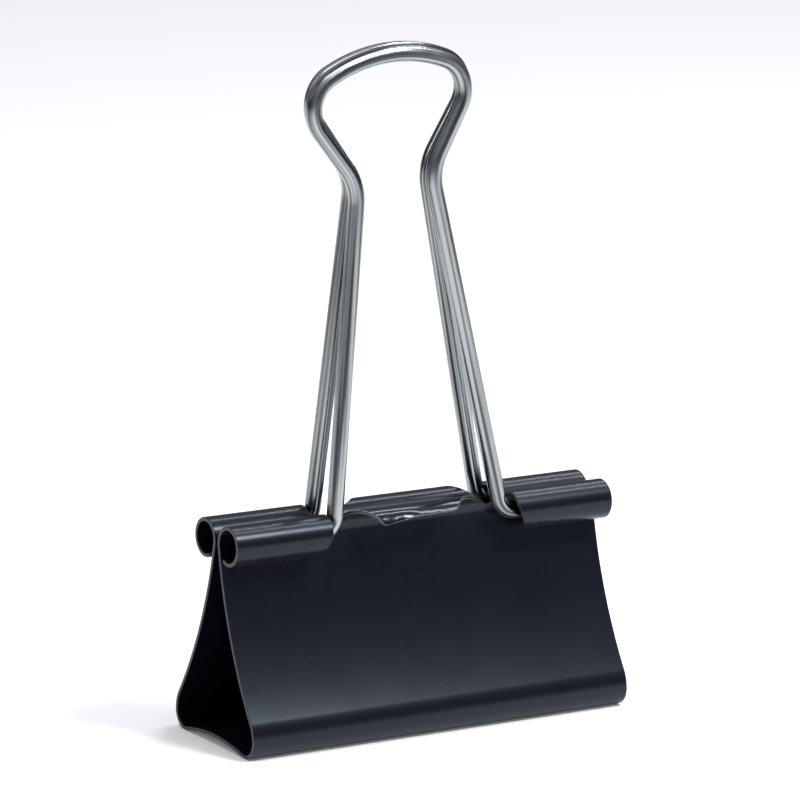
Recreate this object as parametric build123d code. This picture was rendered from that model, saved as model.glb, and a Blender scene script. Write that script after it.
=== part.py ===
from build123d import *
import os
from math import acos, asin, atan2, cos, degrees, hypot, radians, sin, sqrt

# Large fold-back binder clip. Millimetres.
# X runs along the jaws, Y across them (front jaw at -Y), Z is up.
# The origin is the middle of the rectangle that the clip stands on.

# ---------------------------------------------------------------- sizes
# spring strip
clip_width = 51.0            # along X, the same for the base, the jaws and the curls
strip_thickness = 0.45
base_depth = 18.2            # across the outsides of the two base corners
corner_radius = 2.2          # outside of each base corner, from the base round to upright
heel_radius = 4.2            # outside of the wider bend above it, from upright to the jaw's panel
base_rise = 0.8              # how far the base arches up off the table at mid depth
panel_radius = 52.0          # hollow curve of each jaw's outer face
body_height = 26.4           # table to the top of the curls
lip_gap = 0.5                # between the two lips, clip closed and empty

# rolled edges of the jaws
curl_radius = 2.35           # outside of each rolled tube
curl_length = 13.0           # each tube, inwards from the end of the jaw
curl_end_rounding = 2.6      # free inner corner of each tube
curl_edge_clearance = 0.1    # between the rolled edge and the jaw
curl_edge_trim = 3.0         # degrees left off the rolled edge, because the jaw's face is hollow
tab_shoulder_drop = 0.35     # from the top of the curls to where each notch meets the middle tab
tab_shoulder_radius = 2.0
tab_crest_taper = 1.1        # middle tab, each side, from its shoulder to the crest
tab_edge_taper = 2.4         # middle tab, each side, from the crest to its free edge
tab_roll = 162.0             # degrees, from level with the pivot over the top
notch_width = 4.1            # between each curl and the shoulder of the middle tab
notch_floor_width = 1.3      # level part beside the curl, from where the notch climbs to the shoulder
notch_depth = 2.1            # from the top of the curls to the floor of each notch
notch_radius = 0.9

# wire handles
wire_diameter = 1.95
handle_reach = 55.3          # pivot to the middle of the wire at the crown
crown_radius = 18.5
shoulder_radius = 4.0
shoulder_width = 20.1        # between wire centres at the widest place
neck_corner_width = 9.9      # between the corners of the neck, before they are rounded
neck_height = 41.0           # pivot to those corners
neck_radius = 6.3
leg_curl_gap = 0.125         # between each leg and its curl, measured along the pivot line
foot_radius = 2.2
foot_end_gap = 4.0           # from the end of a foot to the open end of its curl
foot_chamfer = 0.25
handle_gap = 0.1             # between the two crowns, handles upright
front_handle_sway = 4.6      # degrees that each handle is bent over towards -X, above its feet
rear_handle_sway = 3.2

# places where the one-piece strip is divided so that it can flex
flexure_gap = 0.2

# ---------------------------------------------------------------- worked out
wire_radius = wire_diameter / 2
curl_bore_radius = curl_radius - strip_thickness
half_width = clip_width / 2
curl_start = half_width - curl_length
notch_floor = body_height - notch_depth
tab_shoulder_x = curl_start - notch_width
tab_crest_x = tab_shoulder_x - tab_crest_taper
tab_edge_x = tab_crest_x - tab_edge_taper
leg_x = curl_start - leg_curl_gap - wire_radius
foot_end_x = half_width - foot_end_gap

corner_centre = (-(base_depth / 2 - corner_radius), corner_radius)
heel_centre = (-(base_depth / 2 - heel_radius), corner_radius)
curl_centre = (-(lip_gap / 2 + curl_radius), body_height - curl_radius)


def circles_meet(first, first_radius, second, second_radius):
    """The crossing of two circles that lies further out in -Y."""
    across, up = second[0] - first[0], second[1] - first[1]
    distance = hypot(across, up)
    along = (distance**2 + first_radius**2 - second_radius**2) / (2 * distance)
    aside = sqrt(first_radius**2 - along**2)
    middle = (first[0] + across * along / distance, first[1] + up * along / distance)
    ends = [
        (middle[0] - side * up * aside / distance, middle[1] + side * across * aside / distance)
        for side in (1, -1)
    ]
    return min(ends)


def heading(start, end):
    """Degrees from +Y towards +Z of the direction from start to end."""
    return degrees(atan2(end[1] - start[1], end[0] - start[0])) % 360


def at(centre, radius, angle):
    """The point at this radius and angle round centre, in the YZ plane."""
    return (centre[0] + radius * cos(radians(angle)), centre[1] + radius * sin(radians(angle)))


# The panel is hollow outside: it touches the heel from outside and the curl's bore from inside.
panel_centre = circles_meet(
    heel_centre, panel_radius + heel_radius, curl_centre, panel_radius - curl_bore_radius
)
panel_foot_angle = heading(panel_centre, heel_centre)
panel_top_angle = heading(panel_centre, curl_centre)
heel_top_angle = heading(heel_centre, panel_centre)
curl_start_angle = panel_top_angle - 360

# The base is an arch that touches both corners from outside.
arch_drop = (corner_centre[0] ** 2 + corner_radius**2 - (base_rise + corner_radius) ** 2) / (2 * base_rise)
arch_centre = (0, -arch_drop)
arch_radius = arch_drop + base_rise
corner_foot_angle = heading(corner_centre, arch_centre)

# The jaw flexes about the middle of the strip where the base meets the corner.
flexure_point = at(corner_centre, corner_radius - strip_thickness / 2, corner_foot_angle)

# The rolled edge stops just short of the jaw's outer face.
closed_angle = 360 - degrees(acos((curl_bore_radius - curl_edge_clearance) / curl_radius))
curl_wrap = closed_angle - curl_edge_trim
tab_edge_y = at(curl_centre, curl_radius, tab_roll)[0]

# Each handle leans in until its crown all but touches the other one.
crown_offset = wire_radius + handle_gap / 2
handle_lean = degrees(asin((-curl_centre[0] - crown_offset) / handle_reach))


# ---------------------------------------------------------------- spring strip
def bent_strip(centre, inner, outer, start_angle, end_angle, x_from, x_to):
    """A stretch of strip bent round centre, between two X positions."""
    middle_angle = (start_angle + end_angle) / 2
    corners = [
        at(centre, inner, start_angle),
        at(centre, outer, start_angle),
        at(centre, outer, end_angle),
        at(centre, inner, end_angle),
    ]
    with BuildPart() as stretch:
        with BuildSketch(Plane.YZ.offset(x_from)):
            with BuildLine():
                Line(corners[0], corners[1])
                ThreePointArc(corners[1], at(centre, outer, middle_angle), corners[2])
                Line(corners[2], corners[3])
                ThreePointArc(corners[3], at(centre, inner, middle_angle), corners[0])
            make_face()
        extrude(amount=x_to - x_from)
    return stretch.part


def make_spine():
    """The arched base, between the two flexures."""
    arch_half_angle = degrees(asin(-flexure_point[0] / (arch_radius + strip_thickness / 2)))
    trim = degrees(flexure_gap / arch_radius)
    return bent_strip(
        arch_centre,
        arch_radius,
        arch_radius + strip_thickness,
        90 - arch_half_angle + trim,
        90 + arch_half_angle - trim,
        -half_width,
        half_width,
    )


def make_curl():
    """The rolled tube at the +X end of the front jaw, with its free inner corner rounded."""
    tube = bent_strip(
        curl_centre,
        curl_bore_radius,
        curl_radius,
        curl_start_angle,
        curl_start_angle + curl_wrap,
        curl_start,
        half_width,
    )
    bottom = curl_centre[1] - curl_radius
    with BuildPart() as corner:
        with BuildSketch(Plane.XZ.offset(-curl_centre[0] - curl_bore_radius + strip_thickness)):
            with Locations((curl_start, bottom)):
                Rectangle(curl_end_rounding, curl_end_rounding, align=Align.MIN)
            with Locations((curl_start + curl_end_rounding, bottom + curl_end_rounding)):
                Circle(curl_end_rounding, mode=Mode.SUBTRACT)
        extrude(amount=3 * curl_radius)
    return tube - corner.part


def make_lip():
    """The bend between the curls, from the panel up to the crest, with a notch beside each curl."""
    lip = bent_strip(
        curl_centre,
        curl_bore_radius,
        curl_radius,
        curl_start_angle,
        90,
        -curl_start,
        curl_start,
    )
    above = body_height + strip_thickness
    corners = [
        (curl_start, above),
        (curl_start, notch_floor),
        (curl_start - notch_floor_width, notch_floor),
        (tab_shoulder_x, body_height - tab_shoulder_drop),
        (tab_crest_x, body_height),
        (tab_crest_x, above),
    ]
    with BuildPart() as notch:
        with BuildSketch(Plane.XZ.offset(-2 * curl_radius)):
            with BuildLine():
                Polyline(*corners, close=True)
            make_face()
            floor_corners, shoulder = vertices().group_by(Axis.Y)[:2]
            fillet(floor_corners, notch_radius)
            fillet(shoulder, tab_shoulder_radius)
        extrude(amount=4 * curl_radius)
    return lip - notch.part - mirror(notch.part, about=Plane.YZ)


def make_tab():
    """The middle tab, from the crest outwards, narrowing to its free edge."""
    rolled = bent_strip(
        curl_centre,
        curl_bore_radius,
        curl_radius,
        90,
        tab_roll,
        -tab_crest_x,
        tab_crest_x,
    )
    with BuildPart() as outline:
        with BuildSketch(Plane.XY.offset(curl_centre[1])):
            with BuildLine():
                Polyline(
                    (tab_crest_x, curl_centre[0]),
                    (tab_edge_x, tab_edge_y),
                    (-tab_edge_x, tab_edge_y),
                    (-tab_crest_x, curl_centre[0]),
                    close=True,
                )
            make_face()
        extrude(amount=2 * curl_radius)
    return rolled & outline.part


def make_front_jaw():
    """One jaw: a base corner with its heel, the hollow panel, the lip, two curls and the middle tab."""
    corner = bent_strip(
        corner_centre,
        corner_radius - strip_thickness,
        corner_radius,
        180,
        corner_foot_angle,
        -half_width,
        half_width,
    )
    heel = bent_strip(
        heel_centre,
        heel_radius - strip_thickness,
        heel_radius,
        heel_top_angle,
        180,
        -half_width,
        half_width,
    )
    panel = bent_strip(
        panel_centre,
        panel_radius,
        panel_radius + strip_thickness,
        panel_foot_angle,
        panel_top_angle,
        -half_width,
        half_width,
    )
    curl = make_curl()
    return corner + heel + panel + make_lip() + make_tab() + curl + mirror(curl, about=Plane.YZ)


# ---------------------------------------------------------------- handles
def make_handle(sway):
    """One wire handle, bent over towards -X above its feet. It is drawn upright and then leant in."""
    shoulder_x = shoulder_width / 2 - shoulder_radius
    crown_z = handle_reach - crown_radius
    shoulder_z = crown_z + sqrt((crown_radius - shoulder_radius) ** 2 - shoulder_x**2)
    neck = (neck_corner_width / 2, neck_height)

    # The flared side runs from the neck corner and touches the shoulder.
    reach = hypot(shoulder_x - neck[0], shoulder_z - neck[1])
    towards_shoulder = atan2(shoulder_z - neck[1], shoulder_x - neck[0])
    side_angle = towards_shoulder - asin(shoulder_radius / reach)
    side_length = sqrt(reach**2 - shoulder_radius**2)
    side_end = (neck[0] + side_length * cos(side_angle), neck[1] + side_length * sin(side_angle))
    shoulder_middle_angle = (side_angle - radians(90) + atan2(shoulder_z - crown_z, shoulder_x)) / 2
    shoulder_middle = (
        shoulder_x + shoulder_radius * cos(shoulder_middle_angle),
        shoulder_z + shoulder_radius * sin(shoulder_middle_angle),
    )
    crown_share = crown_radius / (crown_radius - shoulder_radius)
    crown_end = (shoulder_x * crown_share, crown_z + (shoulder_z - crown_z) * crown_share)

    def swayed(point, side):
        """The point, or its mirror image where side is -1, turned about the middle of the pivot."""
        turned = at((0, 0), side * point[0], sway)
        risen = at((0, 0), point[1], sway + 90)
        return (turned[0] + risen[0], turned[1] + risen[1])

    edges = []
    with BuildLine(Plane.XZ):
        for side in (1, -1):
            foot = [(side * foot_end_x, 0), (side * leg_x, 0)]
            upper = [swayed(neck, side), swayed(side_end, side)]
            edges += FilletPolyline(*foot, *upper, radius=[foot_radius, neck_radius]).edges()
            shoulder = [swayed(point, side) for point in (side_end, shoulder_middle, crown_end)]
            edges += ThreePointArc(*shoulder).edges()
        crown = (swayed(crown_end, 1), swayed((0, handle_reach), 1), swayed(crown_end, -1))
        edges += ThreePointArc(*crown).edges()
    section = Plane(origin=(foot_end_x, 0, 0), z_dir=(-1, 0, 0)) * Circle(wire_radius)
    wire = sweep(section, path=Wire(edges))
    cut_ends = wire.faces().filter_by(GeomType.PLANE).edges()
    wire = chamfer(cut_ends, foot_chamfer)
    return Pos(0, *curl_centre) * Rot(X=-handle_lean) * wire


# ---------------------------------------------------------------- build
front_jaw = make_front_jaw()
nodes = {
    "spring_spine": make_spine(),
    "front_jaw": front_jaw,
    "rear_jaw": front_jaw.rotate(Axis.Z, 180),
    "front_handle": make_handle(front_handle_sway),
    "rear_handle": mirror(make_handle(rear_handle_sway), about=Plane.XZ),
}

os.makedirs("parts", exist_ok=True)
for name, piece in nodes.items():
    export_step(piece, f"parts/{name}.step")

print("flexure axis, front (y, z):", flexure_point)
print("handle axis, front (y, z):", curl_centre)
print("handle lean, degrees:", handle_lean)
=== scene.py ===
from bisect import bisect_left
from math import acos, asin, atan2, ceil, cos, hypot, pi, radians, sin, sqrt

import bpy
import numpy as np
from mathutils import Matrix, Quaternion, Vector
from mathutils.geometry import delaunay_2d_cdt


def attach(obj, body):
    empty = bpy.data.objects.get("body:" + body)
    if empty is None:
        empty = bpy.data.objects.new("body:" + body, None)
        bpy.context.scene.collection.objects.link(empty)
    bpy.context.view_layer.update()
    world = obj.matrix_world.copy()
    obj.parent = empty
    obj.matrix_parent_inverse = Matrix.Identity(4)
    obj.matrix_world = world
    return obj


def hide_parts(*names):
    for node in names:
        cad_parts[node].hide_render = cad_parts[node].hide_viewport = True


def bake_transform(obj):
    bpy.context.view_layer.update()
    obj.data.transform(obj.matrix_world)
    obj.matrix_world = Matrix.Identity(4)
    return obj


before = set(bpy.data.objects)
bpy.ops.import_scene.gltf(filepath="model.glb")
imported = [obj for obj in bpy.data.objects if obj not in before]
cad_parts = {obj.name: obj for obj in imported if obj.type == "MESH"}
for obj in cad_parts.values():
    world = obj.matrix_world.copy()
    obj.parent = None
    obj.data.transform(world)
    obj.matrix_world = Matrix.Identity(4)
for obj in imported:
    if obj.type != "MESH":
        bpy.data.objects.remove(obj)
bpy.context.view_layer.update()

# ---------------------------------------------------------------- sizes, in millimetres
MM = 0.001
CLIP_WIDTH = 51.0
STRIP = 0.45
BASE_DEPTH = 18.2
CORNER_RADIUS = 2.2
HEEL_RADIUS = 4.2
BASE_RISE = 0.8
PANEL_RADIUS = 52.0
BODY_HEIGHT = 26.4
LIP_GAP = 0.5
CURL_RADIUS = 2.35
CURL_LENGTH = 13.0
CURL_END_ROUNDING = (6.8, 7.0)       # across, and round the curl
CURL_EDGE_CLEARANCE = 0.1
CURL_EDGE_CUT = radians(3)
NOTCH_WIDTH = 4.1
NOTCH_FLOOR_WIDTH = 1.3
NOTCH_DEPTH = 2.1
NOTCH_RADIUS = 0.95
TAB_SHOULDER_DROP = 0.35
TAB_CREST_TAPER = 1.1
TAB_EDGE_TAPER = 2.4
TAB_CREST = radians(80)
TAB_ROLL = radians(162)
SHEAR_ROUNDING = 0.09                # where a lacquered face turns into the sheared edge

WIRE_DIAMETER = 1.95
HANDLE_REACH = 55.3
CROWN_RADIUS = 18.5
SHOULDER_RADIUS = 4.0
SHOULDER_WIDTH = 20.1
NECK_CORNER_WIDTH = 9.9
NECK_HEIGHT = 41.0
NECK_RADIUS = 6.3
LEG_CURL_GAP = 0.125
FOOT_RADIUS = 2.2
FOOT_END_GAP = 4.0
FOOT_CHAMFER = 0.25
HANDLE_GAP = 0.1
FRONT_SWAY = radians(4.6)            # each handle is bent over towards -X, above its feet
REAR_SWAY = radians(3.2)

HALF_WIDTH = CLIP_WIDTH / 2
CURL_START = HALF_WIDTH - CURL_LENGTH
CURL_BORE = CURL_RADIUS - STRIP
CORNER = (-(BASE_DEPTH / 2 - CORNER_RADIUS), CORNER_RADIUS)
HEEL = (-(BASE_DEPTH / 2 - HEEL_RADIUS), CORNER_RADIUS)
CURL = (-(LIP_GAP / 2 + CURL_RADIUS), BODY_HEIGHT - CURL_RADIUS)
WIRE_RADIUS = WIRE_DIAMETER / 2

TAB_ROOT_RUN = 0.3                   # how far each corner of the middle tab is eased along its edges
TAB_SHOULDER_RUN = 0.5
TAB_CREST_RUN = 0.4
TAB_END_RUN = 0.3
TAB_SHIFTS = (-0.5, -0.8)            # the tab sits off the middle by these, at its shoulders and beyond them
TAB_KINK = (-1.7, radians(-14))      # the free edge bends here, across the clip and round the curl
TAB_EDGE_SLANT = (radians(-17), radians(1))      # of its +X and -X corners, from TAB_ROLL
TAB_OPENING = (radians(100), 0.085)  # past here the tab's roll opens out, by this much per mm squared
TAB_OPEN_END = (-4.5, 0.0)           # across the clip, it is shut before the first and open past the second
TAB_DENT_RUN = 1.9                   # the dents fade out this far from the free edge
TAB_DENTS = [(0.030, 1.9, 0.4), (0.020, 4.3, 1.9), (0.008, 9.1, 0.6)]    # height, radians per mm, shift
TAB_PRESS = (-2.7, 2.1, 0.16)        # middle across the clip, half width and depth of the pressed-in place
DENT_STEP = 0.02                     # for measuring the dents' slope

# how finely the strip is meshed
LONGEST_ROW = 1.0
ROW_TURN = radians(5)
LONGEST_EDGE = 0.7
SHORTEST_EDGE = 0.05
CLEAR_OF_EDGE = 0.13
COLUMNS = 64
RIM_STEPS = 3

# and the wires
WIRE_SIDES = 36
WIRE_TURN = radians(4)
LONGEST_WIRE_STEP = 1.5


# ---------------------------------------------------------------- the bent strip's section
def circles_meet(first, first_radius, second, second_radius):
    """The crossing of two circles that lies further out in -Y."""
    across, up = second[0] - first[0], second[1] - first[1]
    distance = hypot(across, up)
    along = (distance**2 + first_radius**2 - second_radius**2) / (2 * distance)
    aside = sqrt(first_radius**2 - along**2)
    middle = (first[0] + across * along / distance, first[1] + up * along / distance)
    ends = [
        (middle[0] - side * up * aside / distance, middle[1] + side * across * aside / distance)
        for side in (1, -1)
    ]
    return min(ends)


def heading(start, end):
    """Angle from +Y towards +Z of the direction from start to end, from 0 to a full turn."""
    return atan2(end[1] - start[1], end[0] - start[0]) % (2 * pi)


def section_arcs():
    """The strip's middle line from mid base to the rolled edge, as (centre, radius, from, to, outer side)."""
    panel = circles_meet(HEEL, PANEL_RADIUS + HEEL_RADIUS, CURL, PANEL_RADIUS - CURL_BORE)
    drop = (CORNER[0] ** 2 + CORNER_RADIUS**2 - (BASE_RISE + CORNER_RADIUS) ** 2) / (2 * BASE_RISE)
    arch = (0.0, -drop)
    half = STRIP / 2
    wrap = 2 * pi - acos((CURL_BORE - CURL_EDGE_CLEARANCE) / CURL_RADIUS) - CURL_EDGE_CUT
    panel_top = heading(panel, CURL)
    if panel_top > pi:
        panel_top -= 2 * pi
    panel_foot = heading(panel, HEEL)
    if panel_foot > pi:
        panel_foot -= 2 * pi
    return [
        (arch, drop + BASE_RISE + half, pi / 2, heading(arch, CORNER), -1),
        (CORNER, CORNER_RADIUS - half, heading(CORNER, arch), pi, 1),
        (HEEL, HEEL_RADIUS - half, pi, heading(HEEL, panel), 1),
        (panel, PANEL_RADIUS + half, panel_foot, panel_top, -1),
        (CURL, CURL_RADIUS - half, panel_top, panel_top + wrap, -1),
    ]


ARCS = section_arcs()
LENGTHS = [radius * abs(end - start) for _, radius, start, end, _ in ARCS]
STARTS = [sum(LENGTHS[:i]) for i in range(len(ARCS) + 1)]
CURL_FOOT, CURL_END = STARTS[-2:]


def strip_frame(s):
    """At s along the strip: the arc it is on and the angle round that arc."""
    index = min(max(bisect_left(STARTS, s) - 1, 0), len(ARCS) - 1)
    start, end = ARCS[index][2:4]
    return ARCS[index], start + (end - start) * (s - STARTS[index]) / LENGTHS[index]


def bend(x, s, out):
    """Where a point of the flat strip lies once the strip is bent: x across, s along, out from its middle."""
    (centre, radius, _, _, side), angle = strip_frame(s)
    reach = radius + side * out
    return Vector((x, centre[0] + reach * cos(angle), centre[1] + reach * sin(angle)))


def directions(s):
    """Unit vectors along the strip and towards its outer side, at s."""
    (_, _, start, end, side), angle = strip_frame(s)
    turn = 1 if end > start else -1
    along = Vector((0, -turn * sin(angle), turn * cos(angle)))
    outer = Vector((0, side * cos(angle), side * sin(angle)))
    return along, outer


def round_the_curl(angle):
    """Distance along the strip to this angle about the curl's axis: 0 is level, on the lip's side."""
    return CURL_FOOT + (angle - ARCS[-1][2]) * ARCS[-1][1]


# ---------------------------------------------------------------- the flat blank of half a strip
def blank_corners():
    """Corners of the blank, anticlockwise: x, s, rounding towards the last corner and towards the next."""
    floor = round_the_curl(asin((BODY_HEIGHT - NOTCH_DEPTH - CURL[1]) / CURL_RADIUS))
    shoulder = round_the_curl(asin((BODY_HEIGHT - TAB_SHOULDER_DROP - CURL[1]) / CURL_RADIUS))
    shoulder_x = CURL_START - NOTCH_WIDTH
    crest_x = shoulder_x - TAB_CREST_TAPER
    edge_x = crest_x - TAB_EDGE_TAPER
    shoulder_shift, tab_shift = TAB_SHIFTS

    def side_corners(side):
        return [
            (side * HALF_WIDTH, 0.0, 0.0, 0.0),
            (side * HALF_WIDTH, CURL_END, 0.5, 0.5),
            (side * CURL_START, CURL_END, *CURL_END_ROUNDING),
            (side * CURL_START, floor, NOTCH_RADIUS, NOTCH_RADIUS),
            (side * (CURL_START - NOTCH_FLOOR_WIDTH), floor, TAB_ROOT_RUN, TAB_ROOT_RUN),
            (side * shoulder_x + shoulder_shift, shoulder, TAB_SHOULDER_RUN, TAB_SHOULDER_RUN),
            (side * crest_x + tab_shift, round_the_curl(TAB_CREST), TAB_CREST_RUN, TAB_CREST_RUN),
        ]

    edge = [
        (edge_x + tab_shift, round_the_curl(TAB_ROLL + TAB_EDGE_SLANT[0]), TAB_END_RUN, TAB_END_RUN),
        (TAB_KINK[0], round_the_curl(TAB_ROLL + TAB_KINK[1]), TAB_END_RUN, TAB_END_RUN),
        (tab_shift - edge_x, round_the_curl(TAB_ROLL + TAB_EDGE_SLANT[1]), TAB_END_RUN, TAB_END_RUN),
    ]
    left = [(x, s, after, before) for x, s, before, after in reversed(side_corners(-1))]
    return side_corners(1) + edge + left


def rounded(corners, steps=10):
    """The corners joined up, each one eased into its two edges."""
    line = []
    for i, (x, s, before, after) in enumerate(corners):
        corner = Vector((x, s))
        if before == 0:
            line.append(corner)
            continue
        last = (Vector(corners[i - 1][:2]) - corner).normalized()
        following = (Vector(corners[(i + 1) % len(corners)][:2]) - corner).normalized()
        for k in range(steps + 1):
            turn = pi / 2 * k / steps
            line.append(corner + last * before * (1 - sin(turn)) + following * after * (1 - cos(turn)))
    return line


def strip_rows():
    """Distances along the strip at which the mesh has a row of points, closer where it bends tightly."""
    rows = [0.0]
    for length, (_, radius, _, _, _) in zip(LENGTHS, ARCS):
        count = ceil(length / min(LONGEST_ROW, radius * ROW_TURN))
        rows += [rows[-1] + length / count * (k + 1) for k in range(count)]
    return rows


def divided(line, rows):
    """The closed line with points added where it crosses a row and along its long runs."""
    points = []
    for start, end in zip(line, line[1:] + line[:1]):
        span = end - start
        cuts = [(row - start.y) / span.y for row in rows] if abs(span.y) > 1e-9 else []
        pieces = ceil(span.length / LONGEST_EDGE)
        cuts += [k / pieces for k in range(pieces)]
        kept = []
        for cut in sorted(cut for cut in cuts if -1e-9 < cut < 1 - 1e-9):
            if not kept or (cut - kept[-1]) * span.length > SHORTEST_EDGE:
                kept.append(cut)
        points += [start + span * cut for cut in kept]
    tidy = [points[0]]
    for point in points[1:]:
        if (point - tidy[-1]).length > SHORTEST_EDGE / 2:
            tidy.append(point)
    return tidy


def outward(line):
    """Unit vectors out of a closed anticlockwise line, at its points. The seam at s = 0 stays at s = 0."""
    result = []
    for i, point in enumerate(line):
        last, following = line[i - 1], line[(i + 1) % len(line)]
        way = (following - point).normalized() + (point - last).normalized()
        if point.y < 1e-9:
            result.append(Vector((np.sign(point.x) * (abs(point.x) > HALF_WIDTH - 1e-6), 0)))
        else:
            result.append(Vector((way.y, -way.x)).normalized())
    return result


def inside(points, line):
    """Which of the points lie inside the closed line and clear of it."""
    line = np.array([tuple(p) for p in line])
    following = np.roll(line, -1, axis=0)
    crossings = np.zeros(len(points), int)
    nearest = np.full(len(points), np.inf)
    for (x0, y0), (x1, y1) in zip(line, following):
        straddles = (y0 > points[:, 1]) != (y1 > points[:, 1])
        if y0 != y1:
            crossings += straddles & (points[:, 0] < x0 + (points[:, 1] - y0) * (x1 - x0) / (y1 - y0))
        nearest = np.minimum(nearest, np.hypot(points[:, 0] - x0, points[:, 1] - y0))
    return (crossings % 2 == 1) & (nearest > CLEAR_OF_EDGE)


def half_strip_blank():
    """The blank as (points of its rounded outline, their outward directions, all flat points, triangles)."""
    rows = strip_rows()
    line = divided(rounded(blank_corners()), rows)
    out = outward(line)
    inner = [p - n * SHEAR_ROUNDING for p, n in zip(line, out)]
    across = np.linspace(-HALF_WIDTH, HALF_WIDTH, COLUMNS + 1)
    grid = np.array([(x, s) for s in rows[1:] for x in across])
    grid = grid[inside(grid, inner)]
    points = [Vector(p) for p in inner] + [Vector(p) for p in grid]
    loop = list(range(len(inner)))
    made = delaunay_2d_cdt(points, [], [loop], 1, 1e-5)
    flat, triangles, sources = made[0], made[2], made[3]
    if len(flat) != len(points):
        raise ValueError("the blank's outline crosses itself")
    back = [source[0] for source in sources]
    return line, out, points, [[back[v] for v in t] for t in triangles]


def dent(x, s):
    """How far the middle tab is pushed out of its roll near its free edge, towards the curl's axis."""
    edge = round_the_curl(TAB_ROLL)
    past = s - round_the_curl(TAB_OPENING[0])
    if abs(x) > CURL_START - NOTCH_WIDTH or past <= 0:
        return 0.0
    near = max(0.0, 1 - abs(edge - s) / TAB_DENT_RUN)
    wave = sum(size * sin(x * rate + shift) for size, rate, shift in TAB_DENTS)
    middle, half, depth = TAB_PRESS
    pressed = depth * max(0.0, 1 - ((x - middle) / half) ** 2) ** 2
    closed, opened = TAB_OPEN_END
    open_here = min(max((x - closed) / (opened - closed), 0.0), 1.0)
    return near * near * (wave + pressed) - TAB_OPENING[1] * past * past * open_here


def dented(x, s, normal):
    """The normal of the plain roll at this point, tilted by the dents."""
    along, up = directions(s)
    slope_x = (dent(x + DENT_STEP, s) - dent(x - DENT_STEP, s)) / (2 * DENT_STEP)
    slope_s = (dent(x, s + DENT_STEP) - dent(x, s - DENT_STEP)) / (2 * DENT_STEP)
    tilt = Vector((slope_x, 0, 0)) + along * slope_s
    return (normal - tilt * normal.dot(up)).normalized()


def make_half_strip(name, turned):
    """Half of the sprung strip, from mid base to its rolled edge, as one closed mesh with a sheared rim."""
    line, out, flat, triangles = half_strip_blank()
    half = STRIP / 2
    spin = -1 if turned else 1
    verts, normals, origin, sheared = [], [], [], []

    def add(x, s, height, normal, edge):
        place = bend(x, s, height + dent(x, s)) * MM
        normal = dented(x, s, normal)
        verts.append((spin * place.x, spin * place.y, place.z))
        normals.append((spin * normal.x, spin * normal.y, normal.z))
        origin.append((spin * x, spin * s, height))
        sheared.append(edge)

    count = len(flat)
    for side in (1, -1):
        for x, s in flat:
            add(x, s, side * half, directions(s)[1] * side, 0.0)
    faces = [tuple(t) for t in triangles]
    faces += [tuple(count + v for v in reversed(t)) for t in triangles]

    turns = [pi / 2 * k / RIM_STEPS for k in range(1, RIM_STEPS + 1)]
    profile = [(turn, 1) for turn in turns] + [(turn, -1) for turn in reversed(turns)]
    rim = len(line)
    rings = [list(range(rim))]
    for turn, side in profile:
        rings.append(list(range(len(verts), len(verts) + rim)))
        for point, way in zip(line, out):
            x, s = point - way * SHEAR_ROUNDING * (1 - sin(turn))
            along, up = directions(s)
            edge_way = Vector((way.x, 0, 0)) + along * way.y
            normal = (up * side * cos(turn) + edge_way * sin(turn)).normalized()
            add(x, s, side * (half - SHEAR_ROUNDING * (1 - cos(turn))), normal, sin(turn) ** 2)
    rings.append([count + v for v in range(rim)])
    for near, far in zip(rings, rings[1:]):
        for i in range(rim):
            k = (i + 1) % rim
            faces.append((near[i], far[i], far[k], near[k]))

    mesh = bpy.data.meshes.new(name)
    mesh.from_pydata(verts, [], faces)
    mesh.validate()
    mesh.attributes.new("strip_at", "FLOAT_VECTOR", "POINT").data.foreach_set(
        "vector", np.array(origin, np.float32).ravel()
    )
    mesh.attributes.new("sheared", "FLOAT", "POINT").data.foreach_set("value", np.array(sheared, np.float32))
    mesh.polygons.foreach_set("use_smooth", [True] * len(mesh.polygons))
    mesh.normals_split_custom_set_from_vertices(normals)
    piece = bpy.data.objects.new(name, mesh)
    bpy.context.collection.objects.link(piece)
    return piece


# ---------------------------------------------------------------- wire handles
def handle_sides(sway):
    """Both halves of a handle's middle line, each from the end of its foot to the middle of the crown."""
    shoulder_x = SHOULDER_WIDTH / 2 - SHOULDER_RADIUS
    crown_z = HANDLE_REACH - CROWN_RADIUS
    shoulder_z = crown_z + sqrt((CROWN_RADIUS - SHOULDER_RADIUS) ** 2 - shoulder_x**2)
    neck = Vector((NECK_CORNER_WIDTH / 2, NECK_HEIGHT))
    reach = hypot(shoulder_x - neck.x, shoulder_z - neck.y)
    side_angle = atan2(shoulder_z - neck.y, shoulder_x - neck.x) - asin(SHOULDER_RADIUS / reach)
    side_length = sqrt(reach**2 - SHOULDER_RADIUS**2)
    side_end = neck + Vector((cos(side_angle), sin(side_angle))) * side_length
    crown_meet = atan2(shoulder_z - crown_z, shoulder_x)
    leg_x = CURL_START - LEG_CURL_GAP - WIRE_RADIUS

    def swayed(point):
        x, z = side * point.x, point.y
        return Vector((x * cos(sway) - z * sin(sway), x * sin(sway) + z * cos(sway)))

    sides = []
    for side in (1, -1):
        foot_end = Vector((side * (HALF_WIDTH - FOOT_END_GAP), 0.0))
        foot = Vector((side * leg_x, 0.0))
        points = [foot_end]
        points += fillet(foot_end, foot, swayed(neck), FOOT_RADIUS)
        points += fillet(foot, swayed(neck), swayed(side_end), NECK_RADIUS)
        shoulder = arc((shoulder_x, shoulder_z), SHOULDER_RADIUS, side_angle - pi / 2, crown_meet)
        crown = arc((0.0, crown_z), CROWN_RADIUS, crown_meet, pi / 2)
        points += [swayed(point) for point in shoulder + crown]
        sides.append(points)
    return sides


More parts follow.
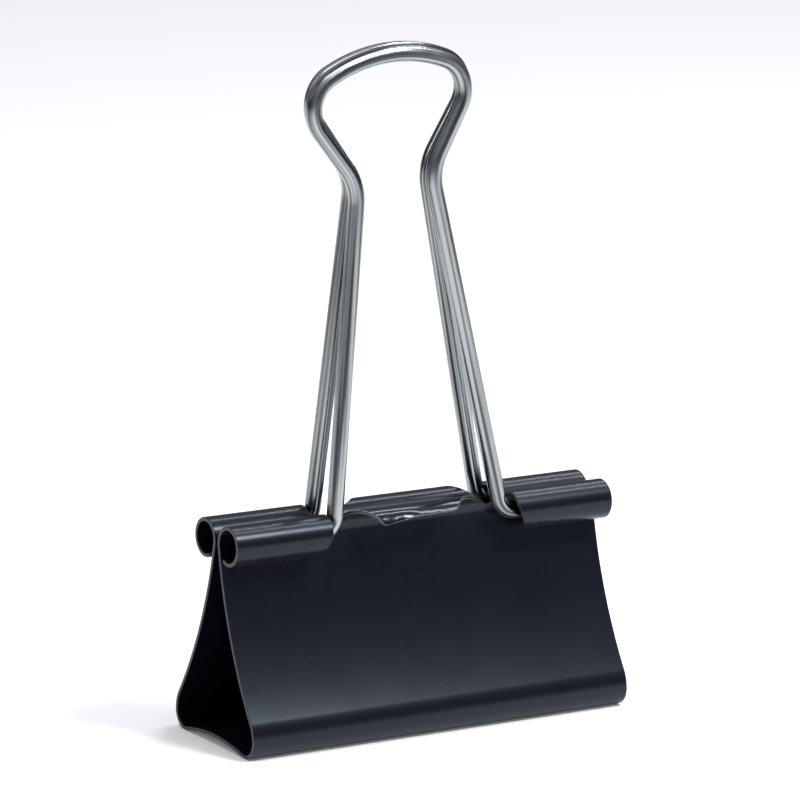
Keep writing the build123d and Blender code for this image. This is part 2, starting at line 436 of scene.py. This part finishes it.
def arc(centre, radius, start, end):
    """Points along an arc, close enough together to look round."""
    count = max(4, ceil(abs(end - start) / WIRE_TURN))
    angles = [start + (end - start) * k / count for k in range(count + 1)]
    return [Vector((centre[0] + radius * cos(a), centre[1] + radius * sin(a))) for a in angles]


def fillet(before, corner, after, radius):
    """Points of the arc that rounds this corner."""
    first, second = (before - corner).normalized(), (after - corner).normalized()
    half = first.angle(second) / 2
    middle = (first + second).normalized()
    centre = corner + middle * radius / sin(half)
    touches = [corner + way * radius / (sin(half) / cos(half)) for way in (first, second)]
    start, end = (atan2(p.y - centre.y, p.x - centre.x) for p in touches)
    if end - start > pi:
        end -= 2 * pi
    if start - end > pi:
        end += 2 * pi
    return arc(centre, radius, start, end)


def wire_line(sway):
    """Middle line of a whole handle, from foot to foot, with its long straight runs divided."""
    right, left = handle_sides(sway)
    corners = right + left[::-1]
    line = [corners[0]]
    for point in corners[1:]:
        gap = point - line[-1]
        if gap.length < 1e-4:
            continue
        steps = ceil(gap.length / LONGEST_WIRE_STEP)
        start = line[-1]
        line += [start + gap * (k + 1) / steps for k in range(steps)]
    return line


def make_handle(name, turned, sway):
    """One wire handle: a round wire swept along its line, with chamfered ends."""
    line = wire_line(sway)
    offset = WIRE_RADIUS + HANDLE_GAP / 2
    lean = asin((-CURL[0] - offset) / HANDLE_REACH)
    spin = -1 if turned else 1
    steps = [(b - a).length for a, b in zip(line, line[1:])]
    along = [sum(steps[:i]) for i in range(len(line))]
    ends = [(0.0, WIRE_RADIUS - FOOT_CHAMFER), (FOOT_CHAMFER, WIRE_RADIUS)]
    sections = []
    for i, point in enumerate(line):
        way = (line[min(i + 1, len(line) - 1)] - line[max(i - 1, 0)]).normalized()
        sections.append((point, way, along[i], WIRE_RADIUS))
    first, last = sections[0], sections[-1]
    start = [(first[0] + first[1] * shift, first[1], shift, radius) for shift, radius in ends]
    finish = [
        (last[0] - last[1] * shift, last[1], last[2] - shift, radius) for shift, radius in reversed(ends)
    ]
    sections = start + sections[1:-1] + finish

    verts, origin = [], []
    for point, way, distance, radius in sections:
        side = Vector((way.y, -way.x))
        for k in range(WIRE_SIDES):
            turn = 2 * pi * k / WIRE_SIDES
            across, depth = radius * cos(turn), radius * sin(turn)
            x, z = point + side * across
            y = depth * cos(lean) + z * sin(lean)
            z = z * cos(lean) - depth * sin(lean)
            verts.append((x * MM, spin * (CURL[0] + y) * MM, (CURL[1] + z) * MM))
            origin.append((WIRE_RADIUS * cos(turn), WIRE_RADIUS * sin(turn), distance))
    faces = []
    for i in range(len(sections) - 1):
        for k in range(WIRE_SIDES):
            a, b = i * WIRE_SIDES + k, i * WIRE_SIDES + (k + 1) % WIRE_SIDES
            faces.append((a, b, b + WIRE_SIDES, a + WIRE_SIDES))
    faces.append(tuple(reversed(range(WIRE_SIDES))))
    faces.append(tuple(len(verts) - WIRE_SIDES + k for k in range(WIRE_SIDES)))
    if turned:
        faces = [tuple(reversed(face)) for face in faces]
    mesh = bpy.data.meshes.new(name)
    mesh.from_pydata(verts, [], faces)
    mesh.attributes.new("wire_at", "FLOAT_VECTOR", "POINT").data.foreach_set(
        "vector", np.array(origin, np.float32).ravel()
    )
    flat = set(range(len(faces) - 2, len(faces)))
    mesh.polygons.foreach_set("use_smooth", [i not in flat for i in range(len(faces))])
    piece = bpy.data.objects.new(name, mesh)
    bpy.context.collection.objects.link(piece)
    return piece


# ---------------------------------------------------------------- materials
class Surface:
    """A new material with its Principled shader, and short ways to add the nodes used here."""

    def __init__(self, name):
        self.material = bpy.data.materials.new(name)
        self.material.use_nodes = True
        self.tree = self.material.node_tree
        self.principled = self.tree.nodes["Principled BSDF"]

    def feed(self, socket, value):
        """Link another node's output to this input, or set the input to a plain value."""
        if isinstance(value, bpy.types.NodeSocket):
            self.tree.links.new(value, socket)
        else:
            socket.default_value = value

    def node(self, kind, output, inputs, **settings):
        """Add a node with its settings and inputs, and give back the named output."""
        added = self.tree.nodes.new("ShaderNode" + kind)
        for key, value in settings.items():
            setattr(added, key, value)
        for key, value in inputs.items():
            self.feed(added.inputs[key], value)
        return added.outputs[output]

    def attribute(self, name, output):
        return self.node("Attribute", output, {}, attribute_name=name)

    def noise(self, place, scale, detail, roughness):
        inputs = {"Vector": place, "Scale": scale, "Detail": detail, "Roughness": roughness}
        return self.node("TexNoise", "Fac", inputs)

    def stretched(self, place, scales):
        return self.node("VectorMath", "Vector", {0: place, 1: scales}, operation="MULTIPLY")

    def times(self, first, second):
        return self.node("Math", "Value", {0: first, 1: second}, operation="MULTIPLY")

    def plus(self, first, second):
        return self.node("Math", "Value", {0: first, 1: second}, operation="ADD")

    def times_plus(self, first, second, more):
        inputs = {0: first, 1: second, 2: more}
        return self.node("Math", "Value", inputs, operation="MULTIPLY_ADD")

    def ranged(self, value, start, end, low=0.0, high=1.0):
        """The value, so that start to end becomes low to high, and nothing lies outside that."""
        inputs = {"Value": value, "From Min": start, "From Max": end, "To Min": low, "To Max": high}
        return self.node("MapRange", "Result", inputs)

    def mixed(self, share, first, second):
        return self.node("MixRGB", "Color", {"Fac": share, "Color1": first, "Color2": second})

    def finish(self, height, bump_distance, **inputs):
        """Raise the surface by the height and set the Principled shader's other inputs."""
        bump = {"Height": height, "Strength": 1.0, "Distance": bump_distance}
        self.feed(self.principled.inputs["Normal"], self.node("Bump", "Normal", bump))
        for name, value in inputs.items():
            self.feed(self.principled.inputs[name.replace("_", " ")], value)
        return self.material


LACQUER_DARKER = (0.0026, 0.0030, 0.0062, 1)
LACQUER_PALER = (0.0034, 0.0040, 0.0080, 1)
LACQUER_TINT = (0.80, 0.88, 1.0, 1)
LACQUER_IOR = 1.40
LACQUER_CLOUD = (0.16, 3.0, 0.55)    # each noise is scale per mm, detail and roughness
LACQUER_PEEL = (0.6, 1.0, 0.5)
LACQUER_GRAIN = (7.0, 2.0, 0.6)
PEEL_HEIGHT = 0.4e-6                 # in metres
LACQUER_ROUGHNESS = (0.26, 0.29)
NOISE_SPAN = (0.3, 0.7)              # nearly all of a noise's values lie in here
TAB_GLOSS_AND_PAINTED_HIGHLIGHT = (radians(60), radians(95))             # past these, round the curl, the tab turns glossier and its bare edges get a painted highlight
TAB_GLOSS_AND_PAINTED_HIGHLIGHT_X = CURL_START - NOTCH_WIDTH + 0.6       # and this far across, with a soft border
TAB_GLOSS_AND_PAINTED_HIGHLIGHT_BORDER = 0.3
TAB_GLOSS = -0.10                    # change of roughness where the tab turns glossier
DUST_COLOUR = (0.12, 0.12, 0.125, 1)
DUST_PER_MM = 1.3
DUST_SIZE = (0.035, 0.07)            # a speck's solid middle and its edge, as shares of a cell
DUST_SHARE = (0.70, 0.72)            # cells whose random value is above this have a speck
DUST_HEIGHT = 3.0                    # against the peel's
BARE_STEEL = (0.085, 0.075, 0.068, 1)
# painted highlight: the tab's bare sheared edges get this lighter steel, which stands in for the light they
# catch
TAB_EDGE_PAINTED_HIGHLIGHT = (0.42, 0.42, 0.44, 1)
WORN_BAND = (0.05, 0.12)             # the sheared edge turns bare between these, in mm from its middle
WORN_MIDDLE = 0.06                   # how bare it is inside the band
WORN_GRAIN = (0.38, 0.62)
WORN_LEAST = 0.25                    # how bare the least worn grain is
# painted reflection: the plate's colour runs in bands between these two, and the darker bands stand in for
# dark surroundings mirrored in the wire
PLATE_PAINTED_DARK_REFLECTION = (0.07, 0.075, 0.078, 1)
PLATE_PALER = (0.38, 0.40, 0.395, 1)
PLATE_BANDS = (2.3, 2.3, 0.03)       # how fast the bands, painted reflection streaks in the colour and bumps in the height, change across and along the wire, per mm
PLATE_BAND_NOISE = (1.0, 1.0, 0.5)
PLATE_BAND_SPAN = (0.36, 0.60)
PLATE_BAND_HEIGHT = 6.0              # against the lines'
PLATE_LINES = (5.0, 5.0, 0.06)
PLATE_LINE_NOISE = (1.0, 4.0, 0.6)
PLATE_CLOUD = (0.35, 3.0, 0.6)
PLATE_ROUGHNESS = (0.12, 0.26)
PLATE_HAZE_SPAN = (0.4, 0.75)
PLATE_HAZE = 0.08                    # roughness added in the cloudiest places
PLATE_RIPPLE = 2.5e-6                # in metres


def lacquer_material():
    """Semi-gloss black lacquer: dusty, thin along the sheared edges, glossier on the tab, and with a painted
    highlight on the tab's bare edges.
    """
    s = Surface("black_lacquer")
    place = s.attribute("strip_at", "Vector")
    cut = s.attribute("sheared", "Fac")
    cloud = s.noise(place, *LACQUER_CLOUD)
    peel = s.noise(place, *LACQUER_PEEL)
    grain = s.noise(place, *LACQUER_GRAIN)

    aside, along, to_face = (
        s.node("Math", "Value", {0: s.node("SeparateXYZ", axis, {"Vector": place})}, operation="ABSOLUTE")
        for axis in ("X", "Y", "Z")
    )
    rolled = s.ranged(along, *(round_the_curl(angle) for angle in TAB_GLOSS_AND_PAINTED_HIGHLIGHT))
    middle = s.ranged(aside, TAB_GLOSS_AND_PAINTED_HIGHLIGHT_X, TAB_GLOSS_AND_PAINTED_HIGHLIGHT_X + TAB_GLOSS_AND_PAINTED_HIGHLIGHT_BORDER, 1.0, 0.0)
    tab = s.times(rolled, middle)

    cells = {"Vector": place, "Scale": DUST_PER_MM, "Randomness": 1.0}
    speck = s.ranged(s.node("TexVoronoi", "Distance", cells), *DUST_SIZE, 1.0, 0.0)
    specks = s.times(speck, s.ranged(s.node("TexVoronoi", "Color", cells), *DUST_SHARE))
    clean = s.mixed(cloud, LACQUER_DARKER, LACQUER_PALER)
    dusty = s.mixed(specks, clean, DUST_COLOUR)

    worn = s.ranged(grain, *WORN_GRAIN, WORN_LEAST, 1.0)
    corner = s.ranged(to_face, *WORN_BAND, WORN_MIDDLE, 1.0)
    bare = s.times(cut, s.times(corner, worn))
    # the sheared edges show bare steel, and on the tab that steel is painted lighter as a highlight
    colour = s.mixed(bare, dusty, s.mixed(tab, BARE_STEEL, TAB_EDGE_PAINTED_HIGHLIGHT))
    roughness = s.times_plus(tab, TAB_GLOSS, s.ranged(cloud, *NOISE_SPAN, *LACQUER_ROUGHNESS))
    height = s.times_plus(specks, DUST_HEIGHT, peel)
    return s.finish(
        height,
        PEEL_HEIGHT,
        Base_Color=colour,
        Roughness=roughness,
        IOR=LACQUER_IOR,
        Specular_Tint=LACQUER_TINT,
    )


def plate_material():
    """Bright nickel plate on drawn wire: darker bands along it painted in as reflection streaks, fine lines
    along it, cloudier in places.
    """
    s = Surface("nickel_plate")
    place = s.attribute("wire_at", "Vector")
    lines = s.noise(s.stretched(place, PLATE_LINES), *PLATE_LINE_NOISE)
    bands = s.noise(s.stretched(place, PLATE_BANDS), *PLATE_BAND_NOISE)
    cloud = s.noise(place, *PLATE_CLOUD)
    # painted reflection: the base colour darkens in bands along the wire
    colour = s.mixed(s.ranged(bands, *PLATE_BAND_SPAN), PLATE_PAINTED_DARK_REFLECTION, PLATE_PALER)
    streaky = s.ranged(lines, *NOISE_SPAN, *PLATE_ROUGHNESS)
    hazy = s.ranged(cloud, *PLATE_HAZE_SPAN, 0.0, PLATE_HAZE)
    return s.finish(
        s.times_plus(bands, PLATE_BAND_HEIGHT, lines),
        PLATE_RIPPLE,
        Base_Color=colour,
        Roughness=s.plus(streaky, hazy),
        Metallic=1.0,
    )


# ---------------------------------------------------------------- the clip
lacquer = lacquer_material()
plate = plate_material()

HINGE = bend(0.0, STARTS[1], 0.0)             # where the base meets the front jaw
FLEX_WAY = Vector((0.0, -0.5, 0.866))
FLEX_BEFORE, FLEX_AFTER = 1.0, 1.5

for side, turned, sway in (("front", False, FRONT_SWAY), ("rear", True, REAR_SWAY)):
    spin = -1 if turned else 1
    strip = make_half_strip(side + "_half_strip", turned)
    strip.data.materials.append(lacquer)
    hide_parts(side + "_jaw", "spring_spine")
    start = HINGE - FLEX_WAY * FLEX_BEFORE
    end = HINGE + FLEX_WAY * FLEX_AFTER
    start, end = (Vector((0, spin * p.y, p.z)) * MM for p in (start, end))
    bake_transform(strip)

    handle = make_handle(side + "_wire_handle", turned, sway)
    handle.data.materials.append(plate)
    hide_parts(side + "_handle")
    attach(handle, side + "_handle")


# ---------------------------------------------------------------- studio
def make_floor():
    """A plain pale floor, which isn't part of the object."""
    bpy.ops.mesh.primitive_plane_add(size=FLOOR_SIZE, location=(0, 0, 0))
    floor = bpy.context.object
    floor.name = "studio_floor"
    surface = Surface("pale_floor")
    inputs = surface.principled.inputs
    inputs["Base Color"].default_value = FLOOR_COLOUR
    inputs["Roughness"].default_value = FLOOR_ROUGHNESS
    inputs["Specular IOR Level"].default_value = FLOOR_SHINE
    inputs["Emission Color"].default_value = FLOOR_COLOUR
    inputs["Emission Strength"].default_value = FLOOR_GLOW
    floor.data.materials.append(surface.material)


def make_light(name, azimuth, elevation, distance, size, power, colour):
    """A soft rectangular light that faces the clip. Azimuth is the camera's, elevation is above the floor."""
    lamp = bpy.data.lights.new(name, "AREA")
    lamp.shape = "RECTANGLE"
    lamp.size, lamp.size_y = size
    lamp.energy = power
    lamp.color = colour
    holder = bpy.data.objects.new(name, lamp)
    bpy.context.collection.objects.link(holder)
    back = looking_back(azimuth, elevation)
    holder.location = LIGHT_TARGET + back * distance
    holder.rotation_euler = (-back).to_track_quat("-Z", "Y").to_euler()


def looking_back(azimuth, elevation):
    """Unit vector from the clip towards a viewer at this azimuth and elevation, in degrees."""
    a, e = radians(azimuth), radians(elevation)
    return Vector((sin(a) * cos(e), -cos(a) * cos(e), sin(e)))


def make_world():
    """Dim surroundings that are lighter overhead; looked at directly they are a pale backdrop."""
    world = bpy.data.worlds.new("studio")
    bpy.context.scene.world = world
    world.use_nodes = True
    nodes, links = world.node_tree.nodes, world.node_tree.links
    background = nodes["Background"]
    place = nodes.new("ShaderNodeTexCoord")
    split = nodes.new("ShaderNodeSeparateXYZ")
    ramp = nodes.new("ShaderNodeValToRGB")
    seen = nodes.new("ShaderNodeLightPath")
    mix = nodes.new("ShaderNodeMixRGB")
    links.new(place.outputs["Generated"], split.inputs["Vector"])
    links.new(split.outputs["Z"], ramp.inputs["Fac"])
    links.new(seen.outputs["Is Camera Ray"], mix.inputs["Fac"])
    links.new(ramp.outputs["Color"], mix.inputs["Color1"])
    mix.inputs["Color2"].default_value = BACKDROP
    links.new(mix.outputs["Color"], background.inputs["Color"])
    stops = ramp.color_ramp.elements
    while len(stops) < len(WORLD_RAMP):
        stops.new(0.5)
    for stop, (height, colour) in zip(stops, WORLD_RAMP):
        stop.position = height
        stop.color = colour


def make_camera():
    """The camera, at the photograph's viewing angle."""
    lens = bpy.data.cameras.new("camera")
    camera = bpy.data.objects.new("camera", lens)
    bpy.context.collection.objects.link(camera)
    back = looking_back(CAMERA_AZIMUTH, CAMERA_ELEVATION)
    camera.location = CAMERA_AIM + back * CAMERA_DISTANCE
    camera.rotation_mode = "QUATERNION"
    roll = Quaternion((0, 0, 1), radians(CAMERA_ROLL))
    camera.rotation_quaternion = (-back).to_track_quat("-Z", "Y") @ roll
    lens.lens = CAMERA_LENS
    lens.sensor_width = CAMERA_SENSOR
    lens.clip_start, lens.clip_end = CAMERA_CLIP
    bpy.context.scene.camera = camera


CAMERA_AZIMUTH = -31.629
CAMERA_ELEVATION = 12.878
CAMERA_ROLL = 1.0
CAMERA_DISTANCE = 0.720505
CAMERA_LENS = 279.54                 # on a sensor this wide, in mm
CAMERA_SENSOR = 36.0
CAMERA_CLIP = (0.01, 100.0)
CAMERA_AIM = Vector((-0.001131, 0.0, 0.0382))

FLOOR_SIZE = 8.0
FLOOR_COLOUR = (0.93, 0.93, 0.925, 1)
FLOOR_ROUGHNESS = 0.9
FLOOR_SHINE = 0.1
FLOOR_GLOW = 0.12
LIGHT_TARGET = Vector((0.0, 0.0, 0.03))
WORLD_RAMP = [
    (0.0, (0.10, 0.10, 0.14, 1)),
    (0.35, (0.22, 0.22, 0.26, 1)),
    (1.0, (0.60, 0.60, 0.62, 1)),
]
BACKDROP = (0.97, 0.97, 0.97, 1)
LIGHTS = [
    # name, azimuth, elevation, distance, size, power, colour
    ("overhead", -20, 80, 1.0, (0.7, 0.5), 3.3, (1.0, 1.0, 1.0)),
    ("key", 30, 50, 0.42, (0.12, 0.07), 1.5, (0.88, 0.95, 1.0)),
    ("right_strip", 92, 60, 0.7, (0.04, 0.25), 0.9, (0.94, 0.95, 1.0)),
    ("back_strip", 128, 48, 0.8, (0.05, 0.3), 0.6, (0.9, 0.92, 1.0)),
    ("left_strip", -100, 35, 0.8, (0.08, 0.4), 0.5, (0.95, 0.97, 1.0)),
]

make_camera()
make_floor()
make_world()
for settings in LIGHTS:
    make_light(*settings)
bpy.context.scene.view_settings.view_transform = "Standard"
